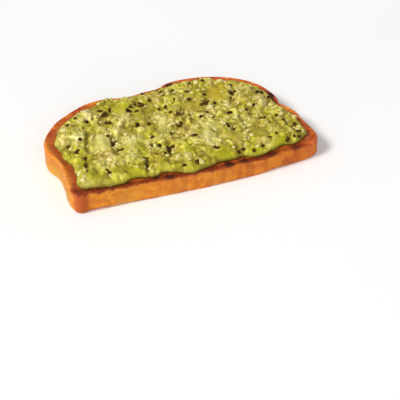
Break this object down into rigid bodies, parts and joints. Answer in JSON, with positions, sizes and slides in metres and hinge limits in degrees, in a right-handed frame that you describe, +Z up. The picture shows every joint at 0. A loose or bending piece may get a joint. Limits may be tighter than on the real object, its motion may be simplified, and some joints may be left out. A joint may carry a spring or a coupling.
{
  "type": "avocado toast",
  "caption": "Slice of toasted bread lying flat, with mashed avocado spread over its upper face.",
  "frame": {"origin": "centre of the slice's footprint, on the surface it rests on", "axes": "+X along the straight bottom crust towards the slice's thinner end, +Y from that crust to the risen top crust, +Z up"},
  "size_m": [0.152, 0.0966, 0.0176],
  "materials": {
    "toasted_bread": "dry toasted crust and crumb, matte",
    "mashed_avocado": "moist mash with a soft sheen",
    "white_sesame": "dry seed hull, soft sheen",
    "dark_sesame": "dry seed hull, soft sheen",
    "poppy_seed": "dry and matte",
    "dried_garlic": "dry flakes, matte",
    "salt": "coarse clear crystals"
  },
  "bodies": {
    "root": {"bread_slice": "toasted_bread", "avocado_spread": "mashed_avocado"}
  },
  "joints": []
}
